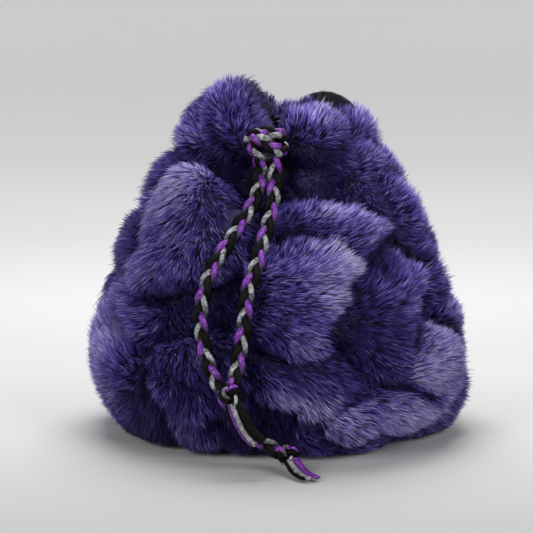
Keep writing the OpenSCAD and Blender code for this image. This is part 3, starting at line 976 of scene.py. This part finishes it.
def coat(sown, length, dice):
    """Root, bend and tip of each hair."""
    root, normal, lie = sown["points"], sown["normal"], sown["lie"]
    count = len(root)
    lie = lie - (lie * normal).sum(-1, keepdims=True) * normal
    long = length * (1 + length_spread * dice.standard_normal((count, 1)))
    long *= np.interp(dice.random((count, 1)), stray_shares, stray_lengths)
    long *= 1 - 0.6 * np.clip(sown["painted_shade"], 0, 1)
    swirl = np.stack([soft_field(root, 7 * MM, seed) for seed in (21, 22, 23)], -1)
    first = unit(normal + 0.95 * lie + 0.15 * swirl + scatter * dice.standard_normal((count, 3)))
    droop = np.array([0, 0, -0.18])
    loose = 1.3 * scatter * dice.standard_normal((count, 3))
    second = unit(normal + 2.3 * lie + 0.30 * swirl + droop + loose)
    low = np.clip(1 - root[:, 2:] / low_zone, 0, 1)
    long *= 1 - 0.5 * low
    first = unit(first + np.array([0, 0, 0.5]) * low)
    second = unit(second + np.array([0, 0, 0.9]) * low)
    bend = root + bend_share * long * first
    return [root, bend, bend + (1 - bend_share) * long * second]


def tone_of(sown, nearest, dice):
    """How pale each hair is: by its puff, in soft patches, a little by tuft and by hair, less where painted
    shade lies.
    """
    count = len(sown["points"])
    by_tuft = dice.random(count)[nearest]
    tone = sown["pale"][:, 0] + 0.10 * soft_field(sown["points"], 12 * MM, 31) + 0.24 * (by_tuft - 0.5)
    # painted shade makes the hairs darker; then the palest are made paler still, partly as painted sheen
    tone += 0.20 * dice.standard_normal(count) - 1.0 * sown["painted_shade"][:, 0]
    tone += 0.5 * np.maximum(tone - 0.5, 0)
    return np.clip(tone, 0.03, 0.97)


# %% Build the hairs as thin spikes
bend_girth = 0.85


def spikes(stages, tone, width, bent):
    """Points, faces and map places of three-sided hairs, with a bend or straight."""
    root, bend, tip = stages
    heading = unit(tip - root)
    side = unit(np.cross(heading, np.where(np.abs(heading[:, 2:]) < 0.9, (0, 0, 1.0), (1.0, 0, 0))))
    other = np.cross(heading, side)
    turns = 2 * np.pi * np.arange(3) / 3
    ring = np.cos(turns)[None, :, None] * side[:, None] + np.sin(turns)[None, :, None] * other[:, None]
    ring *= width / 2
    across = tone[:, None] + np.array([-0.02, 0, 0.02])
    rings = [root[:, None] + ring]
    faces = [(0, 2, 1), (0, 1, 3), (1, 2, 3), (2, 0, 3)]
    if bent:
        rings.append(bend[:, None] + bend_girth * ring)
        faces = [(0, 2, 1), (0, 1, 4), (0, 4, 3), (1, 2, 5), (1, 5, 4), (2, 0, 3), (2, 3, 5), (3, 4, 6),
                 (4, 5, 6), (5, 3, 6)]
    along = [0, 0, 0, bend_share, bend_share, bend_share][:3 * len(rings)] + [1.0]
    points = np.concatenate([*rings, tip[:, None]], 1)
    place = np.stack([np.concatenate([across] * len(rings) + [tone[:, None]], 1),
                      np.broadcast_to(along, points.shape[:2])], -1)
    faces = (np.arange(len(root))[:, None, None] * points.shape[1] + np.array(faces)).reshape(-1, 3)
    return points.reshape(-1, 3), faces, place.reshape(-1, 2)


# %% Lay a coat of fur over each patch
# the tufts, coarse and fine: mm2 of cloth to each, and how far its hairs are drawn together
tufts = ((40, 0.12), (3.2, 0.36))
# the guard hairs bend; the underfur is straight: how long and how thick each is beside the guard hairs
coats = {"guard": (True, 1.0, 1.0), "under": (False, 0.84, 1.25)}
lowest_hair = 0.5 * MM


def fur(name, cloth, body, seed, length=pile, density=(0.75, 3.4), under_cords=False, width=0.245 * MM):
    """Guard hairs and underfur over a patch, as one piece that rides with its cloth."""
    dice = np.random.default_rng(seed)
    hairs, places = [], []
    for (bent, share, thicker), per_mm2 in zip(coats.values(), density):
        sown = sow(cloth, per_mm2, dice)
        stages = coat(sown, share * length, dice)
        picks = dice.permutation(len(stages[0]))
        for area, pull in tufts:
            guides = picks[:max(1, int(len(picks) / per_mm2 / area))]
            stages, nearest = draw_together(stages, guides, pull)
        if under_cords:
            stages = [stages[0], press(stages[1], dice), press(stages[2], dice)]
        for stage in stages:
            stage[:, 2] = np.maximum(stage[:, 2], lowest_hair)
        points, faces, place = spikes(stages, tone_of(sown, nearest, dice), thicker * width, bent)
        hairs.append((points, faces))
        places.append(place)
    points, faces = merge(hairs)
    piece = mesh_piece(name, points, faces)
    layer = piece.data.uv_layers.new(name="OFBake")
    layer.data.foreach_set("uv", np.vstack(places)[faces.ravel()].astype(np.float32).ravel())
    piece.data.materials.append(fur_finish)
    stand_in(piece, body, "fur")
    return piece


# round the back the hairs are fewer and a little thicker
away_side = {"density": (0.45, 2.2), "width": 0.3 * MM}
bag_furs = [fur(f"pile_bag_{k + 1}", cloth, "bag", 100 + k, under_cords=k < 3, **(away_side if k > 2 else {}))
            for k, cloth in enumerate(bag_patches)]
fold_furs = [fur(f"pile_fold_{k + 1}", cloth, f"fold_{k + 1}", 200 + k, under_cords=k < 2,
                 **(away_side if k in (3, 4) else {})) for k, cloth in enumerate(fold_patches)]
print("faces of the largest coat:", max(len(p.data.polygons) for p in bag_furs + fold_furs))

# %% [markdown]
# ## The pleats between the folds
# Where a drawn-up mouth is gathered, narrow strips of the same fur cloth are pulled in behind the
# folds. Their pile is thinner and a little shorter, because it is squeezed, and it shows when the
# mouth is opened. A strip is the same puffed cloth as the wall, but nearly smooth.

# %% Pleat the fur behind the folds
tuck_outline = [(50.5, 75), (44, 86), (37.5, 94), (31.5, 101), (26.4, 107), (24, 112), (22.6, 117),
                (21.4, 121.5), (17, 126.5), (12.4, 130)]
tuck_line = profile(tuck_outline, 1.6 * MM)
nap_length = 7 * MM
# the satin lies this far inside the hide
lining_depth = 2.2 * MM
for k in range(FOLDS):
    middle = fold_middle[k] + 30
    cloth = patch(tuck_line, np.linspace(middle - 19, middle + 19, 26), crease_depth=1.0 * MM, puffing=0.15)
    # the pleats' pile is made half as pale and gets a painted shade on top
    cloth["pale"] = 0.5 * cloth["pale"]
    cloth["painted_shade"] = cloth["painted_shade"] + 0.25
    inner = cloth["points"] - lining_depth * cloth["normal"]
    hide = cloth_from(f"fur_cloth_tuck_{k + 1}", cloth["points"], 1.0 * MM, hide_finish)
    nap = fur(f"pile_tuck_{k + 1}", cloth, f"tuck_{k + 1}", 300 + k, length=nap_length, density=(0.3, 1.6))
    lining = cloth_from(f"satin_tuck_{k + 1}", inner, 0.5 * MM, lining_finish)
    stand_in(hide, f"tuck_{k + 1}", "fur", f"mouth_tuck_{k + 1}")
    stand_in(lining, f"tuck_{k + 1}", "lining", f"tuck_lining_{k + 1}")
print("pleats:", FOLDS)

# %% [markdown]
# ## The base
# The bag stands on a round of the same fur cloth. Its pile is pressed flat by the weight and lies
# outwards, so only its rim is seen, but a part in a library is also turned over.

# %% Lay the fur base
base_line = np.array([(r, 1.4) for r in np.linspace(1.2, 51, 38)]) * MM
base_points, _ = turned(base_line, np.linspace(0, 360, 161))
base_points[..., 2] += 0.35 * MM * soft_field(base_points, 8 * MM, 51)
outwards = base_points * (1, 1, 0) + 9 * MM * soft_field(base_points, 12 * MM, 53)[..., None]
base_cloth = {"points": base_points, "normal": np.broadcast_to([0, 0, -1.0], base_points.shape),
              "pale": 0.34 + 0.12 * soft_field(base_points, 14 * MM, 52),
              "lie": 2.6 * unit(outwards), "painted_shade": np.zeros(base_points.shape[:2])}
base_hide = cloth_from("fur_cloth_base", base_points, hide_thickness, hide_finish, inward=1)
base_fur = fur("pile_base", base_cloth, "bag", 400, length=6 * MM, density=(0.3, 1.4))
stand_in(base_hide, "bag", "fur", "fur_base")
print("base across in mm:", round(2 * float(base_line[-1, 0]) / MM))

# %% [markdown]
# ## The lining and the drawn casing
# Inside the fur is a bag of thin black satin. At the lip it is sewn to the fur, and at the neck the
# casing between the two holds the braid that draws the mouth shut. Satin this thin falls into fine
# pleats where it is gathered, so the pleats are a ripple across the cloth that fades towards the belly.

# %% Gather a lining and keep it inside the fur
def pleated(line, bearings, pleats, deep, seed):
    """A grid of thin satin: an outline turned round the axis, with gathers that fade downwards."""
    grid, ring = turned(line, bearings)
    gather = np.clip((grid[..., 2] - 0.45 * lip_z) / (0.45 * lip_z), 0, 1)
    wave = np.sin(pleats * np.radians(bearings) + 3 * soft_field(grid, 20 * MM, seed)) * gather * deep
    wave += 0.5 * MM * soft_field(grid, 11 * MM, seed + 1)
    grid += wave[..., None] * ring
    tucked_in = 2 * MM * np.clip((grid[..., 2] - 0.8 * lip_z) / (0.1 * lip_z), 0, 1)
    grid[..., 2] -= lip_drop(np.broadcast_to(bearings, grid.shape[:2]), grid[..., 2]) + tucked_in
    return grid


def held_inside(grid, outer, clear=3.2 * MM):
    """Pulls a lining in wherever the fur cloth outside it dips."""
    for column in range(grid.shape[1]):
        beside = outer[:, round(column * (outer.shape[1] - 1) / (grid.shape[1] - 1))]
        heights = np.maximum.accumulate(beside[:, 2])
        limit = np.interp(grid[:, column, 2], heights, np.hypot(beside[:, 0], beside[:, 1])) - clear
        reach = np.hypot(grid[:, column, 0], grid[:, column, 1])
        grid[:, column, :2] *= (np.minimum(reach, limit) / reach)[:, None]
    return grid


# %% Line the six folds
fold_lining_outline = [(52.6, 74), (46, 84), (39.6, 92), (34.6, 98), (30, 104), (27.4, 108.4), (25.2, 113),
                       (23.6, 116.5), (22.9, 120), (20.8, 123.5), (16.6, 126), (13.4, 127.4)]
fold_lining_line = profile(fold_lining_outline, 1.6 * MM)
fold_satins, fold_satin_grids = [], []
for k, middle in enumerate(fold_middle):
    grid = pleated(fold_lining_line, np.linspace(middle - 27, middle + 27, 60), 66, 0.5 * MM, 61 + k)
    fold_satin_grids.append(grid)
    fold_satins.append(cloth_from(f"satin_fold_{k + 1}", grid, 0.4 * MM, lining_finish))
print("fold linings:", len(fold_satins))

# %% Line the bag and its base
satin_thickness = 0.5 * MM
bag_lining_outline = [(49, 9.4), (54, 10.4), (58, 16), (60.5, 24), (60.6, 34), (58.6, 45), (56, 56),
                      (53.4, 66), (52, 72.4)]
bag_lining_line = profile(bag_lining_outline, 2 * MM)
bag_satins, bag_satin_grids = {}, {}
for which, begin in (("front", -180), ("back", 0)):
    grid = pleated(bag_lining_line, np.linspace(begin, begin + 180, panel_columns), 40, 0.8 * MM, 71)
    grid = held_inside(grid, panel_grids[which])
    bag_satin_grids[which] = grid
    bag_satins[which] = cloth_from(f"satin_{which}", grid, satin_thickness, lining_finish)
round_line = np.array([(r, 9.2) for r in np.linspace(0.6, 49.4, 24)]) * MM
base_satin_grid = pleated(round_line, np.linspace(0, 360, 121), 3, 0, 75)
base_satin = cloth_from("satin_base", base_satin_grid, satin_thickness, lining_finish)
print("satin pieces:", len(fold_satins) + len(bag_satins) + 1)

# %% Run the braid round the neck inside the casing
ring_r = 26.4 * MM
# the two front stretches stop short, in degrees, where the legs come out
way_out = 9
neck_braids = []
for k, middle in enumerate(fold_middle):
    begin = middle - 28 + (way_out if k == 1 else 0)
    end = middle + 28 - (way_out if k == 0 else 0)
    angle = np.radians(np.linspace(begin, end, 60))
    line = np.stack([ring_r * np.cos(angle), ring_r * np.sin(angle), neck_z + 0 * angle], -1)
    tubes = plaited(line, unit(line * (1, 1, 0)), [1.0 * MM] * 3, flatness=0.85, sides=6,
                    period=16 * MM, swing=1.9 * MM, dip=0.35 * MM, start=0.2 * k)
    neck_braids.append(join_tubes(f"braid_in_casing_{k + 1}", tubes))
print("braid pieces in the casing:", len(neck_braids))

# %% [markdown]
# ## The seams
# The panels are closed with a doubled thread. Only the short bars of the stitches lie on the surface,
# one after another, so each seam is a row of small bent bars that dip into the cloth at their ends.

# %% Stitch the seams
thread_half = 0.3 * MM


def stitches(name, line, out, long, gap):
    """A row of small arched bars along a line."""
    along = distances(line)
    arch = 1.4 * thread_half * np.sin(np.linspace(0, np.pi, 4))
    bars = []
    for start in np.arange(gap, along[-1] - long, long + gap):
        at = np.linspace(start, start + long, 4)
        bar, lift = (np.stack([np.interp(at, along, of[:, n]) for n in range(3)], 1) for of in (line, out))
        bars.append(tube(bar + lift * arch[:, None], lift, thread_half, thread_half, sides=5))
    piece = mesh_piece(name, *merge(bars))
    piece.data.materials.append(thread_finish)
    return piece


side_stitches = []
seam_line = profile(bag_lining_outline[1:], 1 * MM)
for n, facing in enumerate((1, -1)):
    line = np.stack([facing * (seam_line[:, 0] - 1.3 * MM), 0 * seam_line[:, 0], seam_line[:, 1]], -1)
    name = f"side_seam_stitches_{n}"
    side_stitches.append(stitches(name, line, -unit(line * (1, 1, 0)), long=2.6 * MM, gap=1.0 * MM))
turn = np.radians(np.linspace(0, 360, 361))
hem_r = 50 * MM
hem = np.stack([hem_r * np.cos(turn), hem_r * np.sin(turn), 1.2 * MM + 0 * turn], -1)
downwards = np.tile([0, 0, -1.0], (len(hem), 1))
base_stitches = stitches("base_seam_stitches", hem, downwards, long=3 * MM, gap=1.2 * MM)
print("seam rows:", len(side_stitches) + 1)

# %% [markdown]
# ## The lining that peeps out
# Behind the right-hand lobe of the mouth a lip of the lining has turned out: a thin, rounded flap of
# pleated satin. It is a small fan: narrow and gathered at its foot, wide and bowed at its edge.

# %% Fan out the peeping lip of satin
foot = np.array([19, -3, 125]) * MM
across = np.linspace(0, 1, 60)
upwards = np.linspace(0, 1, 14)[:, None]
fan_angle = np.radians(122 - 92 * across)
reach = (12 - 2.2 * np.abs(across - 0.35) ** 1.3) * MM
fan_x = foot[0] + 4 * MM * across + upwards * reach * np.cos(fan_angle)
fan_z = foot[2] - 2.5 * MM * across + upwards * reach * np.sin(fan_angle) * 0.92
fan_y = foot[1] + 0.55 * MM * np.sin(34 * across) * (0.3 + 0.7 * upwards) - 2 * MM * upwards ** 2
fan = np.stack([fan_x, fan_y, fan_z], -1)
satin_lip = cloth_from("satin_lip", fan, 0.35 * MM, lining_finish, inward=0)
print("satin lip height in mm:", round(float(fan_z.max() / MM), 1))

# %% Say where the lining and the seams ride
for which, piece in bag_satins.items():
    stand_in(piece, "bag", "lining", f"lining_{which}")
stand_in(base_satin, "bag", "lining", "lining_base")
for piece in side_stitches:
    stand_in(piece, "bag", "thread", "side_seam_thread")
stand_in(base_stitches, "bag", "thread", "base_seam_thread")
for k in range(FOLDS):
    stand_in(fold_satins[k], f"fold_{k + 1}", "lining", f"fold_lining_{k + 1}")
    stand_in(neck_braids[k], f"fold_{k + 1}", "braid", f"neck_braid_{k + 1}")
stand_in(satin_lip, "fold_3", "lining")
print("pieces that stand for nodes:", len(bag_satins) + 2 + len(side_stitches) + 2 * FOLDS)


for which, coats in (("front", bag_furs[:3]), ("back", bag_furs[3:])):
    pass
for piece, line, coats in ((base_hide, base_line, [base_fur]), (base_satin, round_line, [])):
    across = 2 * line[-1, 0]
    print(piece.name, "cut to a round", round(across / MM), "mm across")

# %% [markdown]
# ## The table, the backdrop and the light
# A pale sweep of paper curves up behind the bag, so that there is no line between table and wall.
# Its colour is painted darker towards its near and far ends, as painted shade where the light falls off.
# One big soft lamp overhead, a weak one at each side and two small ones on the paper light it, as in a
# simple studio.

# %% Lay the paper sweep
sweep_side = [(-6, 0), (-3, 0), (-1, 0), (0.5, 0), (0.95, 0.01), (1.22, 0.08), (1.38, 0.26), (1.43, 0.5),
              (1.43, 1.7)]
sweep_line = smooth_route([(0, y, z) for y, z in sweep_side], 0.03)
sweep_edges = [sweep_line + (x, 0, 0) for x in (-6.0, 6.0)]
n = np.arange(len(sweep_line) - 1) * 2
sweep_faces = np.stack([n, n + 1, n + 3, n + 2], -1)
sweep = mesh_piece("paper_sweep", np.stack(sweep_edges, 1).reshape(-1, 3), sweep_faces)
print("paper rows:", len(sweep_line))


# %% Tint the paper with painted shade
# from near to far along the table: places from 0 to 1, and how pale the paper is painted there,
# darker near the front and towards the wall as painted shade where less light falls
nearest_tone, farthest_tone = -0.25, 1.5
painted_paper_shade = [(0.04, 0.40), (0.08, 0.47), (0.134, 0.57), (0.20, 0.68), (0.30, 0.67), (0.41, 0.585),
               (0.57, 0.60), (0.81, 0.715)]
paper, nodes, links, shader = new_material("pale_paper")
where = nodes.new("ShaderNodeTexCoord")
split = nodes.new("ShaderNodeSeparateXYZ")
links.new(where.outputs["Object"], split.inputs[0])
how_far = nodes.new("ShaderNodeMapRange")
set_inputs(how_far, {"From Min": nearest_tone, "From Max": farthest_tone})
links.new(split.outputs[1], how_far.inputs["Value"])
links.new(grey_ramp(nodes, links, how_far.outputs[0], painted_paper_shade), shader.inputs["Base Color"])
set_inputs(shader, {"Roughness": 0.8})
sweep.data.materials.append(paper)
print("paper tones:", len(painted_paper_shade))


# %% Hang the lamps
def lamp(name, place, target, size, power):
    data = bpy.data.lights.new(name, "AREA")
    data.shape = "RECTANGLE"
    data.size, data.size_y = size
    data.energy = power
    light = bpy.data.objects.new(name, data)
    bpy.context.scene.collection.objects.link(light)
    light.location = place
    light.rotation_euler = (Vector(target) - Vector(place)).to_track_quat("-Z", "Y").to_euler()
    return light


bag_middle = (0, 0, 0.05)
lamp("overhead", (0.0, 0.30, 0.95), bag_middle, size=(0.75, 0.6), power=10.5)
lamp("left_fill", (-0.7, -0.9, 0.6), bag_middle, size=(0.6, 0.6), power=7.5)
lamp("right_fill", (0.7, -0.8, 0.55), bag_middle, size=(0.6, 0.6), power=7.0)
for side in (-1, 1):
    lamp("backdrop_wash", (0.65 * side, 0.70, 0.45), (0.2 * side, 1.35, 0.05), size=(0.4, 0.4), power=1.3)
bpy.context.scene.view_settings.view_transform = "Standard"
world = bpy.data.worlds.new("studio_air")
bpy.context.scene.world = world
world.use_nodes = True
set_inputs(world.node_tree.nodes["Background"], {"Color": (1.0, 1.0, 1.0, 1), "Strength": 0.10})
print("lamps:", len(bpy.data.lights))
